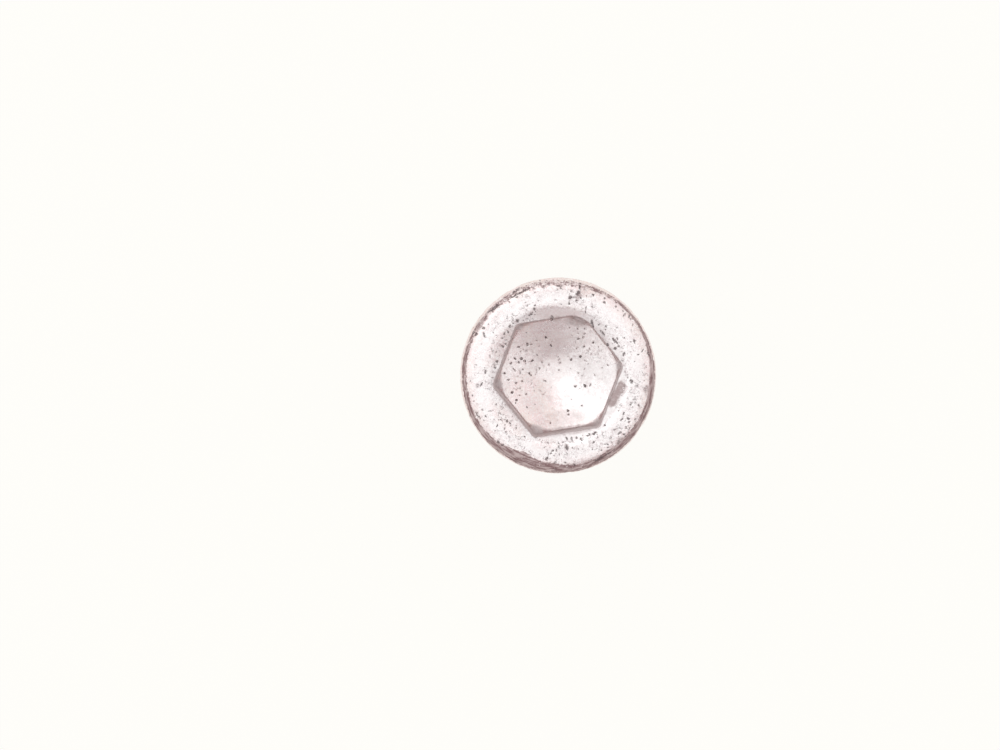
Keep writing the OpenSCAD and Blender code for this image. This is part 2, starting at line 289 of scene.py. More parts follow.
# Pink and cream stains on the head's top, and painted shade on the countersink's top and upper left, in
# millimetres right of and above its centre: across, up, half length, half width, turn and strength
STAINS_AND_SHADE = [
    (3.4, 10.4, 0.9, 0.8, 0, 1.0), (-7.2, 3.4, 2.6, 1.0, 60, 0.5), (-6.2, -5.4, 2.8, 0.9, -45, 0.45),
    (-1.5, -8.3, 1.4, 0.7, 0, 0.4), (0, 7.7, 3.4, 0.9, 0, 0.4),
]

# Half of a mark's length and width, as a share that leaves room for its soft edge
MARK_HALF = 0.45
# How dark the marks on the socket's floor are, as a share of those on the top
FLOOR_MARKS = 0.86
# How far the outlines of marks and film wander, in pixels, and the size of the bumps in them
RAGGED_PX, RAGGED_BUMPS = 0.8, 0.4 * MM
# Strength of the film and the stain, and density of the pits, where the photograph doesn't show the
# surface
UNSEEN_FILM, UNSEEN_STAIN, UNSEEN_PITTING = 0.25, 0.15, 0.15
# Grime on the side of the head and on the shank, and how much darker its grooves are made
# with the grime and the film colours
SIDE_GRIME, SHANK_GRIME, GROOVE_DARKENING, GROOVE_FILM_DARKENING = 0.2, 0.05, 0.3, 0.5

# Uneven surfaces, in millimetres: the height of their bumps and their size, and a mark's dent
BROAD_BUMPS = (0.012, 2.6)
FINE_BUMPS = (0.008, 0.8)
RIM_NIBBLES = (0.09, 1.7)
WALL_BUMPS = (0.06, 1.1)
DENT_DEPTH = 0.04

# Colours of the steel
CLEAN_STEEL = (0.95, 0.905, 0.90, 1)
PATCHY_STEEL = (0.82, 0.745, 0.75, 1)
BRIGHT_STEEL = (0.99, 0.97, 0.965, 1)
# Colours of painted glints and of what lies on it
# White flecks: painted glints beside the pits and scratches
GLINT_FLECKS = (1.0, 0.985, 0.98, 1)
FAINT_LINES = (0.52, 0.43, 0.435, 1)
# Stain colours, also used for painted shade on the socket's floor and countersink
PINK_STAIN_AND_SHADE = (0.885, 0.69, 0.68, 1)
CREAM_STAIN_AND_SHADE = (0.89, 0.73, 0.69, 1)
# Grey-brown of the film, also used for painted shade on the socket's walls, countersink and floor
FILM_AND_SHADE = (0.46, 0.365, 0.36, 1)
# Colour of the caked dirt in the socket's corners, which also paints their shade
CAKED_DIRT_AND_SHADE = (0.74, 0.67, 0.665, 1)
# Grime colours, also used for the painted shade in the band round the rim
DARK_GRIME_AND_SHADE = (0.26, 0.16, 0.16, 1)
PALE_GRIME_AND_SHADE = (0.55, 0.44, 0.43, 1)
DARK_PITS = (0.13, 0.095, 0.095, 1)

# The ground: its colour and half width, and the colour and share of its glow
GROUND, GROUND_REACH = (0.95, 0.945, 0.91, 1), 4.0
GLOW, GLOW_SHARE = (1.0, 0.991, 0.955, 1), 0.92
# Colours of the sky
OVERHEAD = (1.05, 1.045, 1.045, 1)
HORIZON = (0.68, 0.62, 0.62, 1)
DIM_PATCH = (0.45, 0.385, 0.39, 1)
# The sky's top and the middle of its dim patch, in degrees: lean from straight up, and bearing in the
# picture
SKY_TOP, DIM_MIDDLE = (8, 120), (90, -76)
# The lamp: its width and power, and where it stands, right of and above the head and over the ground
LAMP_SIZE, LAMP_POWER = 0.7, 0.5
LAMP_RIGHT, LAMP_UP, LAMP_HEIGHT = -0.25, 0.35, 0.8
# The camera: the width of its sensor in millimetres, and its nearest and furthest distance
SENSOR_WIDTH, NEAR, FAR = 36, 0.01, 20


def smoothstep(low, high, value):
    """0 at low, 1 at high, and an eased ramp between them."""
    t = np.clip((value - low) / (high - low), 0, 1)
    return t * t * (3 - 2 * t)


def turns(columns):
    return np.arange(columns) * (2 * math.pi / columns)


def ring(r, z, columns=HEAD_COLUMNS):
    """A row of the half section: one radius and height for each column."""
    return np.stack([np.broadcast_to(r, columns), np.broadcast_to(z, columns)], axis=1).astype(float)


def line(a, b, count):
    """Rows from a to b, without a itself."""
    return [a + (b - a) * (i / count) for i in range(1, count + 1)]


def toward(a, b, distance):
    """The row on the way from a to b, at a distance from a."""
    step = b - a
    return a + step * (np.reshape(distance, (-1, 1)) / np.linalg.norm(step, axis=1, keepdims=True))


def eased(a, corner, b, count):
    """Rows of a rounded corner from a to b, without a itself."""
    steps = [i / count for i in range(1, count + 1)]
    return [a * (1 - t) ** 2 + corner * 2 * t * (1 - t) + b * t**2 for t in steps]


def arc(centre, radius, start, end, count):
    """Rows along an arc of the half section, without its first. Angles are in degrees from outward."""
    angles = [math.radians(start + (end - start) * i / count) for i in range(1, count + 1)]
    return [centre + radius * np.array([math.cos(a), math.sin(a)]) for a in angles]


def from_corner(turn):
    """The angle at each turn from the hexagon's nearest corner, and that corner's place in the lists."""
    nearest = np.floor(turn / SIDE_ANGLE + 0.5).astype(int)
    return turn - nearest * SIDE_ANGLE, nearest % 6


def hexagon_r(turn):
    """Distance from the axis to the hexagon at a turn, with its corners rounded."""
    away, corner = from_corner(turn)
    radius = CORNER_ROUND[corner]
    flat = APOTHEM / np.cos(SIDE_ANGLE / 2 - np.abs(away))
    centre = CORNER_R - radius / math.cos(SIDE_ANGLE / 2)
    tangent = np.arctan2(radius * math.sin(SIDE_ANGLE / 2), centre + radius * math.cos(SIDE_ANGLE / 2))
    half_chord = np.sqrt(np.clip(radius**2 - (centre * np.sin(away)) ** 2, 0, None))
    return np.where(np.abs(away) < tangent, centre * np.cos(away) + half_chord, flat)


def socket_rows():
    """Rows from the rounded tip of the socket's floor up the flats and out over the countersink."""
    turn = turns(HEAD_COLUMNS)
    wall = hexagon_r(turn)
    foot = ring(wall, FLOOR_Z - (CORNER_R - wall) * math.tan(FLOOR_SLOPE))
    mouth = ring(wall, TOP_Z - (COUNTERSINK_R - wall) / math.tan(COUNTERSINK_ANGLE / 2))
    rim = ring(COUNTERSINK_R, TOP_Z)
    away, corner = from_corner(turn)
    web = FOOT_WEB + CORNER_WEB[corner] * smoothstep(math.radians(15), 0, np.abs(away))
    rows = arc(ring(0, TIP_CENTRE_Z), FLOOR_TIP_R, -90, math.degrees(FLOOR_SLOPE) - 90, 20)
    before_foot = toward(foot, rows[-1], web)
    rows += line(rows[-1], before_foot, 34)
    rows += eased(before_foot, foot, toward(foot, mouth, web), 5)
    below_mouth = toward(mouth, foot, FLAT_WEAR)
    rows += line(rows[-1], below_mouth, 6)
    rows += eased(below_mouth, mouth, toward(mouth, rim, BEVEL_WEAR), 4)
    before_rim = rim * 0.7 + mouth * 0.3
    rows += line(rows[-1], before_rim, 5)
    rows += eased(before_rim, rim, ring(COUNTERSINK_R + MOUTH_WEAR, TOP_Z), 6)
    return rows


def head_rows():
    """Rows over the head, from the countersink to the bearing face."""
    edge = HEAD_R - HEAD_EDGE_R
    start = ring(COUNTERSINK_R + MOUTH_WEAR, TOP_Z)
    rows = line(start, ring(edge, TOP_Z), 13)
    rows += arc(ring(edge, TOP_Z - HEAD_EDGE_R), HEAD_EDGE_R, 90, 0, 16)
    rows += line(rows[-1], ring(HEAD_R, BEARING_Z + FOOT_BEVEL), 8)
    rows += line(rows[-1], ring(HEAD_R - FOOT_BEVEL, BEARING_Z), 2)
    return rows


def neck_rows():
    """Rows from the bearing face down the fillet and the neck."""
    fillet = NECK_R + NECK_FILLET_R
    rows = [ring(HEAD_R - 2 * FOOT_BEVEL, BEARING_Z, SHANK_COLUMNS)]
    rows += line(rows[-1], ring(fillet, BEARING_Z, SHANK_COLUMNS), 6)
    rows += arc(ring(fillet, BEARING_Z - NECK_FILLET_R, SHANK_COLUMNS), NECK_FILLET_R, 90, 180, 5)
    rows += line(rows[-1], ring(NECK_R, NECK_Z + 0.35 * PITCH, SHANK_COLUMNS), 4)
    return rows


# The thread form, measured along the axis from the middle of a crest
CREST_HALF = PITCH / 16
ROOT_ROUND = 0.144 * PITCH
ROOT_HALF = ROOT_ROUND * math.cos(math.radians(30))


def thread_r(z, turn):
    """Radius of the threaded shank at a height and a turn, run out at the neck and cut by the point."""
    along = np.abs((z - turn * PITCH / (2 * math.pi) + PITCH / 2) % PITCH - PITCH / 2)
    flank = THREAD_R - (along - CREST_HALF) * math.tan(math.radians(60))
    to_root = PITCH / 2 - along
    hollow = ROOT_R + ROOT_ROUND - np.sqrt(np.clip(ROOT_ROUND**2 - to_root**2, 0, None))
    form = np.where(to_root < ROOT_HALF, hollow, np.minimum(flank, THREAD_R))
    run_out = smoothstep(NECK_Z + 0.3 * PITCH, NECK_Z - 0.9 * PITCH, z)
    form = NECK_R + (form - NECK_R) * run_out
    return np.minimum(form, POINT_R + z / math.tan(POINT_ANGLE))


def thread_steps():
    """Places along one pitch, from the middle of a crest, at which the thread form has a row."""
    half = [CREST_HALF, 0.22 * PITCH, PITCH / 2 - ROOT_HALF, PITCH / 2 - 0.45 * ROOT_HALF]
    return np.array(half + [PITCH / 2] + [PITCH - step for step in reversed(half)])


class Surface:
    """Vertices by turn, radius and height, and faces, gathered row by row."""

    def __init__(self):
        self.turn, self.section, self.faces = [], [], []

    def add(self, row, turn=None):
        """Adds a row of vertices and gives their numbers."""
        start = len(self.turn)
        self.turn += list(turns(len(row)) if turn is None else turn)
        self.section += [tuple(p) for p in row]
        return np.arange(start, len(self.turn))

    def close(self, *corners):
        """One face, without the corners that repeat."""
        different = list(dict.fromkeys(int(c) for c in corners))
        if len(different) > 2:
            self.faces.append(different)

    def join(self, upper, lower):
        """Faces between two rings with as many vertices each."""
        for face in zip(upper, lower, np.roll(lower, -1), np.roll(upper, -1)):
            self.close(*face)

    def join_halved(self, upper, lower):
        """Faces between a ring and one with half as many vertices."""
        for i, (a, b) in enumerate(zip(lower, np.roll(lower, -1))):
            self.close(upper[2 * i], a, b, upper[(2 * i + 2) % len(upper)], upper[2 * i + 1])

    def join_all(self, rings):
        for upper, lower in zip(rings, rings[1:]):
            self.join(upper, lower)

    def places(self):
        turn, section = np.array(self.turn), np.array(self.section)
        r, z = section[:, 0], section[:, 1]
        return np.stack([r * np.cos(turn), r * np.sin(turn), z], axis=1)


def add_thread(surface, top_ring, top_z, low_z):
    """Helical rows between two level rings. Each climbs a pitch in a turn and so meets the next."""
    steps = thread_steps()
    turn = turns(SHANK_COLUMNS)
    first, last = math.floor(low_z / PITCH) - 2, math.ceil(top_z / PITCH) + 1
    base = np.concatenate([k * PITCH + steps for k in range(first, last)])
    z = base[:, None] + turn[None, :] * PITCH / (2 * math.pi)
    above, below = z > top_z - ROW_SNAP, z < low_z + ROW_SNAP
    low_ring = surface.add(ring(thread_r(low_z, turn), low_z, SHANK_COLUMNS))
    numbers = np.where(above, top_ring[None, :], low_ring[None, :])
    rows, columns = np.nonzero(~(above | below))
    heights, angles = z[rows, columns], turn[columns]
    section = np.stack([thread_r(heights, angles), heights], axis=1)
    numbers[rows, columns] = surface.add(section, angles)
    wrapped = np.full(len(base), top_ring[0])
    wrapped[:-len(steps)] = numbers[len(steps):, 0]
    wide = np.concatenate([numbers, wrapped[:, None]], axis=1)
    for upper, lower in zip(wide[1:], wide[:-1]):
        for face in zip(upper[:-1], lower[:-1], lower[1:], upper[1:]):
            surface.close(*face)
    return low_ring


def build_screw():
    """The whole screw as one closed surface, unworn."""
    surface = Surface()
    head = [surface.add(row) for row in socket_rows() + head_rows()]
    apex = surface.add(np.array([(0.0, APEX_Z)]))[0]
    surface.join(np.full(HEAD_COLUMNS, apex), head[0])
    surface.join_all(head)
    neck = [surface.add(row) for row in neck_rows()]
    surface.join_halved(head[-1], neck[0])
    surface.join_all(neck)
    low_ring = add_thread(surface, neck[-1], surface.section[neck[-1][0]][1], THREAD_LOW_Z)
    rim = ring(POINT_R, 0, SHANK_COLUMNS)
    end = [surface.add(row) for row in [rim] + line(rim, rim * 0.05, 8)]
    surface.join_all([low_ring, *end])
    surface.join(end[-1], np.full(SHANK_COLUMNS, surface.add(np.array([(0.0, 0.0)]))[0]))
    return surface


def noise_at(places, scale, seed, detail=3):
    """Smooth noise from about -1 to 1 at each place. Scale is the size of its bumps."""
    shift = Vector((seed * 17.3, seed * 5.1, seed * 9.7))
    return np.array([noise.fractal(Vector(p) / scale + shift, 1.0, 2.0, detail) for p in places])


def picture_axes():
    """The model's directions that lie to the right and up in the photograph."""
    right = Vector((math.cos(PHOTO_TURN), -math.sin(PHOTO_TURN), 0))
    return right, Vector((-right.y, right.x, 0))


def in_picture(places):
    """Millimetres right of and above the head's centre, as the photograph shows it."""
    right, up = (np.array(axis) for axis in picture_axes())
    return places @ right / MM, places @ up / MM


def seen_at(places):
    """Where the photograph shows each place, in its pixels."""
    right, up = in_picture(places)
    shrink = EYE_HEIGHT / (EYE_HEIGHT + TOP_Z - places[:, 2])
    x = EYE_RIGHT + (right * MM - EYE_RIGHT) * shrink
    y = EYE_UP + (up * MM - EYE_UP) * shrink
    return HEAD_PX[0] + x / PIXEL, HEAD_PX[1] - y / PIXEL


def seen_unevenly(places):
    """Where the photograph shows each place, pushed about a little so that marks get ragged outlines."""
    across, down = seen_at(places)
    across += RAGGED_PX * noise_at(places, RAGGED_BUMPS, 5)
    down += RAGGED_PX * noise_at(places, RAGGED_BUMPS, 6)
    return across, down


def from_axis(places):
    return np.hypot(places[:, 0], places[:, 1])


def turn_of(places):
    return np.arctan2(places[:, 1], places[:, 0])


def on_shank(places):
    return (places[:, 2] < BEARING_Z) & (from_axis(places) < SHANK_REACH)


def faces_eye(places):
    """True where the photograph shows the surface: the head's top, its edge and the socket."""
    in_socket = (from_axis(places) < SOCKET_REACH) & (places[:, 2] > SOCKET_LOW_Z)
    return (places[:, 2] > TOP_Z - EDGE_SEEN) | in_socket


def round_picture(places):
    """Millimetres from the head's centre, and degrees round the picture from its right."""
    x, y = in_picture(places)
    return np.hypot(x, y), np.degrees(np.arctan2(y, x))


def band_at(angle, band, column):
    """The value of a band's column at an angle round the picture, in degrees."""
    rows = np.array(band)
    return np.interp(angle % 360, rows[:, 0], rows[:, column], period=360)


def blob(x, y, centre, length, width, turn):
    """1 round a centre, fading at a half length and width that are turned by an angle in degrees."""
    c, s = math.cos(math.radians(turn)), math.sin(math.radians(turn))
    along = ((x - centre[0]) * c + (y - centre[1]) * s) / length
    across = ((y - centre[1]) * c - (x - centre[0]) * s) / width
    return smoothstep(1.4, 0.7, np.hypot(along, across))


def strongest(patches, x, y, size=1.0, y_up=1):
    """The largest strength that a patch has at each place. Where y runs down the picture, y_up is -1."""
    share = np.zeros(len(x))
    for px, py, length, width, turn, strength in patches:
        patch = blob(x, y, (px, py), size * length, size * width, y_up * turn)
        share = np.maximum(share, strength * patch)
    return share


def groove_depth(places):
    """0 on the thread's crests and 1 in its grooves."""
    return np.clip((THREAD_R - from_axis(places)) / GROOVE_DEPTH, 0, 1)


def grime_and_shade_at(places):
    """How much grey-brown grime, and painted shade in the band round the rim, lies at each place, from 0 to
    1, before it is broken up.
    """
    r, angle = round_picture(places)
    depth = TOP_Z - places[:, 2]
    inner, outer = band_at(angle, RIM_GRIME_AND_SHADE, 1), band_at(angle, RIM_GRIME_AND_SHADE, 2)
    band = smoothstep(inner - 0.3, inner + 0.1, r) * smoothstep(outer + 0.12, outer - 0.12, r)
    grime_and_shade = np.where(depth < EDGE_SEEN, band_at(angle, RIM_GRIME_AND_SHADE, 3) * band, 0)
    side = (depth > SIDE_DEPTH) & (from_axis(places) > SIDE_FROM)
    grime_and_shade = np.where(side, SIDE_GRIME, grime_and_shade)
    # The thread's grooves are coloured darker towards their bottom
    return np.where(on_shank(places), SHANK_GRIME + GROOVE_DARKENING * groove_depth(places), grime_and_shade)


def off_flats(places):
    """Distance of each place, in or out, from the hexagon."""
    return np.abs(from_axis(places) - hexagon_r(turn_of(places)))


def wall_shade_at(places):
    """Painted shade on the socket's flats, from 0 to 1, and 0 elsewhere."""
    angle, z = round_picture(places)[1], places[:, 2]
    up_wall = smoothstep(TOP_Z - 6.5 * MM, TOP_Z - 2 * MM, z)
    film_and_shade = band_at(angle, WALL_SHADE, 1) * up_wall + band_at(angle, WALL_SHADE, 2) * (1 - up_wall)
    return np.where((off_flats(places) < 0.05 * MM) & (z < TOP_Z - 0.5 * MM), film_and_shade, 0)


def film_and_shade_at(places):
    """How much thin, soft film and painted shade lie at each place, from 0 to 1."""
    patches = strongest(FILM_AND_SHADE_PATCHES, *seen_unevenly(places), y_up=-1)
    # Darker film colour towards the bottom of the thread's grooves
    unseen = UNSEEN_FILM + GROOVE_FILM_DARKENING * groove_depth(places) * on_shank(places)
    return np.where(faces_eye(places), np.maximum(patches, wall_shade_at(places)), unseen)


def web_at(places):
    """1 in the hexagon's corners at the floor, where pale dirt has caked and paints the corners' shade, and
    0 elsewhere.
    """
    out, z = from_axis(places), places[:, 2]
    turn, corner = from_corner(turn_of(places))
    away = np.hypot(out * np.cos(turn) - CORNER_R, out * np.sin(turn))
    web = smoothstep(1.5 * CORNER_WEB[corner], 0.9 * CORNER_WEB[corner], away)
    in_socket = (z > SOCKET_LOW_Z) & (out < CORNER_R + 0.01 * MM)
    return web * smoothstep(FLOOR_Z + 1.5 * MM, FLOOR_Z + 0.7 * MM, z) * in_socket


def stain_and_shade_at(places):
    """How strongly pink and cream stains and painted shade on the floor and the countersink tint each place,
    from 0 to 1.
    """
    x, y = in_picture(places)
    r, z = np.hypot(x, y), places[:, 2]
    edge = np.maximum(smoothstep(11.5, 11.75, r), 0.7 * smoothstep(9.8, 11.1, r))
    stain_and_shade = np.where(z > TOP_Z - EDGE_SEEN, edge, UNSEEN_STAIN)
    stain_and_shade = np.maximum(stain_and_shade, strongest(STAINS_AND_SHADE, x, y))
    # On the floor: painted shade of its cone, darker and pinker on the left, top and bottom and towards the
    # corners
    inside = 0.5 * blob(x, y, (-3.2, -3.2), 3.6, 2.4, -45) + 0.3 * smoothstep(3.0, -2.0, x)
    inside += 0.3 * smoothstep(0, 5.0, y) + 0.35 * smoothstep(-3.5, -6.0, y)
    inside += 0.3 * smoothstep(6.5, 7.5, r)
    floor_or_shank = (z < FLOOR_TOP_Z) & (r < 8.2)
    return np.where(floor_or_shank, np.clip(inside, 0, 1), stain_and_shade)


def pitting_at(places):
    """How densely each place is pitted, from 0 to 1."""
    x, y = in_picture(places)
    r, angle = round_picture(places)
    floor = 0.14 + 0.2 * smoothstep(1.0, -4.0, x) * smoothstep(-5.0, 1.0, y)
    floor += 0.25 * blob(x, y, (4.0, 4.0), 3.0, 2.2, -40) - 0.12 * blob(x, y, (0, 0), 2.0, 2.0, 0)
    floor -= 0.1 * smoothstep(-2.5, -4.0, y)
    share = np.where(r > 8, band_at(angle, RING_PITTING, 1), floor)
    left_of_mouth = (r > 7) & (r < 9) & (places[:, 2] > TOP_Z - 1.2 * MM) & (x < -2)
    share = np.where(left_of_mouth, 0.7, share)
    across, down = seen_at(places)
    for px, py, length, width, turn in CLEAN_PATCHES:
        share = share * (1 - CLEAN_SHARE * blob(across, down, (px, py), length, width, -turn))
    return np.clip(np.where(faces_eye(places), share, UNSEEN_PITTING), 0, 1)


def marks_at(places):
    """How dark a mark each place lies in: 0 outside all of them."""
    marks = strongest(MARKS, *seen_unevenly(places), size=MARK_HALF, y_up=-1)
    marks = np.where(places[:, 2] < FLOOR_TOP_Z, FLOOR_MARKS * marks, marks)
    return np.where(faces_eye(places), marks, 0)


def bumps_at(places, height_and_size, seed):
    """Smooth bumps of a height and a size, both in millimetres."""
    height, size = height_and_size
    return height * noise_at(places, size * MM, seed)


def wear(data, places, marks):
    """Moves the vertices along their normals: uneven surfaces, a nibbled rim, and dents at the marks."""
    normals = np.zeros(len(places) * 3)
    data.vertices.foreach_get("normal", normals)
    normals = normals.reshape(-1, 3)
    r, z = round_picture(places)[0], places[:, 2]
    rim = smoothstep(10.3, 11.6, r) * smoothstep(TOP_Z - 4 * MM, TOP_Z - MM, z)
    by_wall = smoothstep(0.5 * MM, 0.1 * MM, off_flats(places)) * (z > FLOOR_Z)
    push = bumps_at(places, BROAD_BUMPS, 1) + bumps_at(places, FINE_BUMPS, 2)
    push -= rim * np.abs(bumps_at(places, RIM_NIBBLES, 3))
    push -= DENT_DEPTH * marks
    push += by_wall * bumps_at(places, WALL_BUMPS, 4)
    off_ground = smoothstep(0, 0.4 * MM, z)
    return places + normals * (push * off_ground * MM)[:, None]


def keep_in_box(places):
    """Nothing stands proud of the solid's box."""
    low, high = np.array(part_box("screw")[0]), np.array(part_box("screw")[1])
    return np.clip(places, low, high)


def add_share(data, name, values):
    data.attributes.new(name, "FLOAT", "POINT").data.foreach_set("value", values.astype(np.float32))


# What each vertex carries for the material
SHARES = {
    "grime_and_shade": grime_and_shade_at, "film_and_shade": film_and_shade_at, "web": web_at, "stain_and_shade": stain_and_shade_at, "pitting": pitting_at,
    "marks": marks_at,
}


def add_object(name, data):
    made = bpy.data.objects.new(name, data)
    bpy.context.scene.collection.objects.link(made)
    return made


def make_screw():
    surface = build_screw()
    places = surface.places()
    data = bpy.data.meshes.new("screw_body")
    data.from_pydata([tuple(p) for p in places], [], surface.faces)
    data.update()
    shares = {name: share_at(places) for name, share_at in SHARES.items()}
    for name, share in shares.items():
        add_share(data, name, share)
    worn = wear(data, places, shares["marks"])
    data.vertices.foreach_set("co", keep_in_box(worn).ravel())
    data.update()
    data.polygons.foreach_set("use_smooth", [True] * len(data.polygons))
    data.set_sharp_from_angle(angle=SHARP_ANGLE)
    return add_object("screw_body", data)


class Graph:
    """Short names for the nodes of one material or world."""

    def __init__(self, owner):
        owner.use_nodes = True
        self.nodes, self.links = owner.node_tree.nodes, owner.node_tree.links

    def put(self, socket, value):
        if isinstance(value, bpy.types.NodeSocket):
            self.links.new(value, socket)
        else:
            socket.default_value = value

    def node(self, kind, inputs=(), **settings):
        made = self.nodes.new("ShaderNode" + kind)
        for name, value in settings.items():
            setattr(made, name, value)
        for name, value in dict(inputs).items():
            self.put(made.inputs[name], value)
        return made

    def math(self, operation, *values):
        return self.node("Math", dict(enumerate(values)), operation=operation).outputs[0]

    def product(self, a, b):
        return self.math("MULTIPLY", a, b)

    def vector(self, operation, inputs):
        return self.node("VectorMath", inputs, operation=operation).outputs[0]

    def dot(self, a, b):
        return self.node("VectorMath", {0: a, 1: b}, operation="DOT_PRODUCT").outputs["Value"]

    def ramp(self, value, low, high, start=0.0, end=1.0):
        """An eased ramp from start at low to end at high."""
        inputs = {"Value": value, 1: low, 2: high, 3: start, 4: end}
        return self.node("MapRange", inputs, interpolation_type="SMOOTHSTEP").outputs[0]

    def mix(self, share, a, b):
        return self.node("Mix", {0: share, 6: a, 7: b}, data_type="RGBA").outputs[2]

    def blend(self, share, a, b):
        return self.node("Mix", {0: share, 2: a, 3: b}, data_type="FLOAT").outputs[0]

    def noise(self, vector, scale, detail=3.0):
        return self.node("TexNoise", {"Vector": vector, "Scale": scale, "Detail": detail}).outputs[0]

    def share(self, name):
        return self.node("Attribute", attribute_name=name).outputs["Fac"]


def specks(graph, vector, scale, density, size):
    """Irregular spots scattered at random, 1 inside. Density is the share of cells that hold one."""
    cells = graph.node("TexVoronoi", {"Vector": vector, "Scale": scale})
    chance = graph.node("SeparateColor", {"Color": cells.outputs["Color"]})
    there = graph.math("LESS_THAN", chance.outputs[0], density)
    depth = graph.math("MULTIPLY_ADD", chance.outputs[2], 0.6, 0.4)
    radius = graph.math("MULTIPLY_ADD", chance.outputs[1], size * 0.7, size * 0.3)
    reach = graph.math("DIVIDE", cells.outputs["Distance"], radius)
    return graph.product(graph.product(graph.ramp(reach, 1.0, 0.6), depth), there)


def round_the_axis(graph, in_mm):
    """Places as distance round, distance out and height, for streaks that run round the screw."""
    split = graph.node("SeparateXYZ", {0: in_mm}).outputs
    angle = graph.math("ARCTAN2", split[1], split[0])
    square = graph.product(split[1], split[1])
    out = graph.math("SQRT", graph.math("MULTIPLY_ADD", split[0], split[0], square))
    along = graph.product(angle, HEAD_R / MM)
    return graph.node("CombineXYZ", {0: along, 1: out, 2: split[2]}).outputs[0]


def squiggles(graph, vector, scale, width, gaps=0.54):
    """Short crooked lines, 1 inside: pieces of a noise's contours. Higher gaps leave fewer of them."""
    height = graph.noise(vector, scale, 2.0)
    away = graph.math("ABSOLUTE", graph.math("SUBTRACT", height, 0.5))
    piece = graph.ramp(graph.noise(vector, scale * 1.7, 1.0), gaps, gaps + 0.08)
    return graph.product(graph.ramp(away, width, width * 0.3), piece)


def most(graph, *values):
    """The largest of several values."""
    largest = values[0]
    for value in values[1:]:
        largest = graph.math("MAXIMUM", largest, value)
    return largest


def textures(graph):
    """Noises of several sizes in millimetres, places bent by one, and how densely the steel is pitted."""
    look = SimpleNamespace()
    place = graph.node("TexCoord").outputs["Object"]
    in_mm = graph.vector("SCALE", {0: place, "Scale": 1 / MM})
    look.broad = graph.noise(in_mm, scale=0.55, detail=2.0)
    look.mottle = graph.noise(in_mm, scale=1.9, detail=5.0)
    look.grain = graph.noise(in_mm, scale=5.0, detail=3.0)
    stretched = graph.vector("MULTIPLY", {0: round_the_axis(graph, in_mm), 1: (0.7, 5.0, 3.0)})
    look.streak = graph.noise(stretched, scale=1.0, detail=4.0)
    warp = graph.node("TexNoise", {"Vector": in_mm, "Scale": 3.0, "Detail": 3.0}).outputs["Color"]
    look.bent = graph.vector("MULTIPLY_ADD", {0: warp, 1: (0.7,) * 3, 2: in_mm})
    look.pitting = graph.share("pitting")
    return look


def pits_on(graph, look):
    """Scattered pits and scratches, and the placed marks with ragged edges."""
    clusters = graph.product(look.pitting, graph.ramp(look.broad, 0.4, 0.62, 0.12, 0.42))
    tiny = specks(graph, look.bent, 3.6, clusters, 0.4)
    crowd = graph.product(look.pitting, graph.ramp(look.broad, 0.4, 0.65, 0.04, 0.2))
    large = specks(graph, look.bent, 1.8, crowd, 0.3)
    lines = squiggles(graph, look.bent, 1.1, 0.025)
    lines = graph.product(lines, graph.ramp(look.pitting, 0.2, 0.9, 0.1, 0.7))
    scattered = graph.product(most(graph, tiny, large, lines), 0.75)
    ragged = graph.product(graph.share("marks"), graph.ramp(look.grain, 0.36, 0.6, 0.4, 1.3))
    return graph.math("MAXIMUM", scattered, graph.ramp(ragged, 0.06, 0.88, 0.0, 0.95))


def fine_lines(graph, look, scale, least, greatest):
    """Small crooked lines that grow stronger where the steel is pitted."""
    share = graph.ramp(look.pitting, 0.05, 0.6, least, greatest)
    return graph.product(squiggles(graph, look.bent, scale, 0.05, 0.47), share)


def grime_and_shade_on(graph, look):
    """The grime and the painted shade round the rim, broken up by two noises."""
    mottled = graph.math("SUBTRACT", look.mottle, 0.5)
    uneven = graph.math("MULTIPLY_ADD", mottled, 1.1, graph.share("grime_and_shade"))
    grained = graph.math("SUBTRACT", look.grain, 0.5)
    return graph.ramp(graph.math("MULTIPLY_ADD", grained, 1.2, uneven), 0.36, 0.66)


def steel_colour(graph, look):
    """Pale steel with darker and brighter patches, faint lines, and pink and cream stains that also paint
    shade in the socket.
    """
    pitted = graph.ramp(look.pitting, 0.2, 0.5, 0.4, 0.8)
    steel = graph.mix(graph.product(graph.ramp(look.mottle, 0.4, 0.64), pitted), CLEAN_STEEL, PATCHY_STEEL)
    steel = graph.mix(graph.ramp(look.grain, 0.53, 0.62), steel, BRIGHT_STEEL)
    tint = graph.mix(graph.ramp(look.broad, 0.4, 0.6), PINK_STAIN_AND_SHADE, CREAM_STAIN_AND_SHADE)
    stain_and_shade = graph.product(graph.share("stain_and_shade"), graph.ramp(look.grain, 0.35, 0.6, 1.0, 0.45))
    steel = graph.mix(fine_lines(graph, look, 2.9, 0.2, 0.7), steel, FAINT_LINES)
    return graph.mix(stain_and_shade, steel, tint)


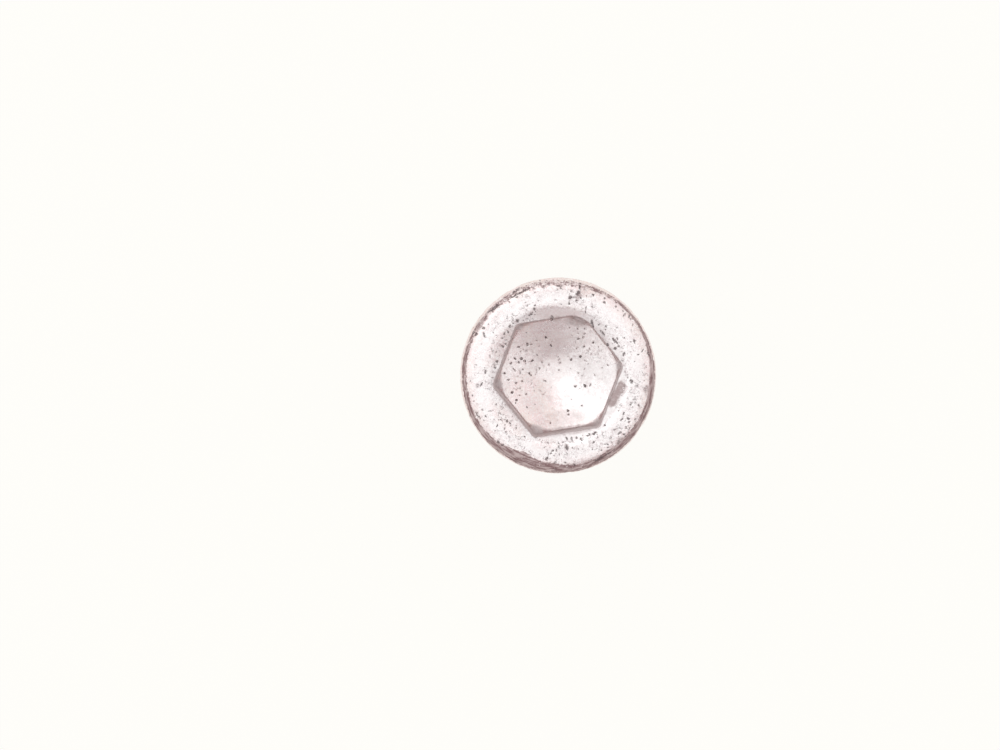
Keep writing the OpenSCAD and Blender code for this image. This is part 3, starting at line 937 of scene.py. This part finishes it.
def worn_steel():
    """Pale, finely pitted steel with grey-brown grime, film, stains, painted shade and painted glints where
    the shares say so.
    """
    material = bpy.data.materials.new("worn_steel")
    graph = Graph(material)
    look = textures(graph)
    pits = pits_on(graph, look)
    # White flecks: painted glints, strongest where the steel is pitted
    glint_flecks = fine_lines(graph, look, 2.5, 0.15, 0.9)
    # The grime share also carries painted shade in the band round the rim's rounded edge
    grime_and_shade = grime_and_shade_on(graph, look)
    # The film share also carries painted shade on the socket's walls, countersink and floor
    film_and_shade = graph.product(graph.share("film_and_shade"), graph.ramp(look.mottle, 0.36, 0.64, 1.1, 0.65))
    # The web share: caked dirt in the corners, coloured also as painted corner shade
    web = graph.product(graph.share("web"), graph.ramp(look.mottle, 0.3, 0.7, 1.0, 0.7))

    colour = graph.mix(film_and_shade, steel_colour(graph, look), FILM_AND_SHADE)
    colour = graph.mix(web, colour, CAKED_DIRT_AND_SHADE)
    colour = graph.mix(glint_flecks, colour, GLINT_FLECKS)
    brown = graph.mix(graph.ramp(look.streak, 0.38, 0.62), DARK_GRIME_AND_SHADE, PALE_GRIME_AND_SHADE)
    colour = graph.mix(grime_and_shade, colour, brown)
    colour = graph.mix(graph.product(pits, 0.9), colour, DARK_PITS)

    dull = most(graph, grime_and_shade, pits, film_and_shade, web, glint_flecks)
    satin = graph.ramp(look.broad, 0.3, 0.7, 0.26, 0.34)
    relief = graph.math("MULTIPLY_ADD", pits, -0.07, graph.product(look.mottle, 0.03))
    relief = graph.math("MULTIPLY_ADD", look.grain, 0.01, relief)
    bump = graph.node("Bump", {"Strength": 1.0, "Distance": MM, "Height": relief})
    shader = graph.nodes["Principled BSDF"].inputs
    graph.put(shader["Base Color"], colour)
    graph.put(shader["Metallic"], graph.blend(dull, 1.0, 0.3))
    graph.put(shader["Roughness"], graph.blend(dull, satin, 0.6))
    graph.put(shader["Normal"], bump.outputs[0])
    return material


def white_floor():
    """White to the camera and in reflections. A share of its true shade keeps the shadow."""
    material = bpy.data.materials.new("floor")
    graph = Graph(material)
    shader = graph.nodes["Principled BSDF"]
    shader.inputs["Base Color"].default_value = GROUND
    shader.inputs["Roughness"].default_value = 0.9
    glow = graph.node("Emission", {"Color": GLOW})
    path = graph.node("LightPath").outputs
    seen = graph.math("MAXIMUM", path["Is Camera Ray"], path["Is Glossy Ray"])
    seen = graph.math("MAXIMUM", seen, path["Is Transmission Ray"])
    both = graph.node("MixShader", {0: graph.product(seen, GLOW_SHARE)})
    graph.links.new(shader.outputs[0], both.inputs[1])
    graph.links.new(glow.outputs[0], both.inputs[2])
    graph.links.new(both.outputs[0], graph.nodes["Material Output"].inputs["Surface"])
    return material


def make_floor():
    data = bpy.data.meshes.new("floor")
    corners = [(x * GROUND_REACH, y * GROUND_REACH, 0) for x, y in [(-1, -1), (1, -1), (1, 1), (-1, 1)]]
    data.from_pydata(corners, [], [(0, 1, 2, 3)])
    data.materials.append(white_floor())
    floor = add_object("floor", data)


def sky_direction(lean, bearing):
    """A direction that leans from straight up to a bearing in the picture, both in degrees."""
    lean, bearing = math.radians(lean), math.radians(bearing) - PHOTO_TURN
    return math.sin(lean) * math.cos(bearing), math.sin(lean) * math.sin(bearing), math.cos(lean)


def make_world():
    """A white dome, dimmer and warmer at the horizon, with one broad dim patch."""
    world = bpy.data.worlds.new("studio")
    bpy.context.scene.world = world
    graph = Graph(world)
    direction = graph.node("TexCoord").outputs["Generated"]
    height = graph.dot(direction, sky_direction(*SKY_TOP))
    facing = graph.dot(direction, sky_direction(*DIM_MIDDLE))
    dome = graph.mix(graph.ramp(height, 0.0, 0.62), HORIZON, OVERHEAD)
    patch = graph.product(graph.ramp(facing, 0.32, 0.68), graph.ramp(height, 0.3, 0.7))
    sky = graph.mix(patch, dome, DIM_PATCH)
    graph.put(graph.nodes["Background"].inputs["Color"], sky)


def make_lamp():
    """One broad, weak lamp from the upper left, for a soft shadow."""
    data = bpy.data.lights.new("key", "AREA")
    data.shape = "DISK"
    data.size = LAMP_SIZE
    data.energy = LAMP_POWER
    lamp = add_object("key", data)
    right, up = picture_axes()
    lamp.location = right * LAMP_RIGHT + up * LAMP_UP + Vector((0, 0, LAMP_HEIGHT))
    aim = Vector((0, 0, TOP_Z)) - lamp.location
    lamp.rotation_euler = aim.to_track_quat("-Z", "Y").to_euler()


def make_camera():
    """Looks down from just beside the screw's axis, with the head where the photograph has it."""
    right, up = picture_axes()
    head = Vector((0, 0, TOP_Z))
    eye = head + right * EYE_RIGHT + up * EYE_UP + Vector((0, 0, EYE_HEIGHT))
    centre = head - right * (HEAD_PX[0] - FRAME_W / 2) * PIXEL + up * (HEAD_PX[1] - FRAME_H / 2) * PIXEL
    back = (eye - centre).normalized()
    side = up.cross(back).normalized()
    data = bpy.data.cameras.new("camera")
    data.sensor_width = SENSOR_WIDTH
    data.lens = data.sensor_width * (eye - centre).length / (FRAME_W * PIXEL)
    data.clip_start, data.clip_end = NEAR, FAR
    camera = add_object("camera", data)
    camera.location = eye
    camera.rotation_euler = Matrix((side, back.cross(side), back)).transposed().to_euler()
    bpy.context.scene.camera = camera


bpy.context.scene.view_settings.view_transform = "Standard"
make_world()
make_lamp()
make_floor()
make_camera()
screw = make_screw()
screw.data.materials.append(worn_steel())
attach(screw, "root")
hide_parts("screw")
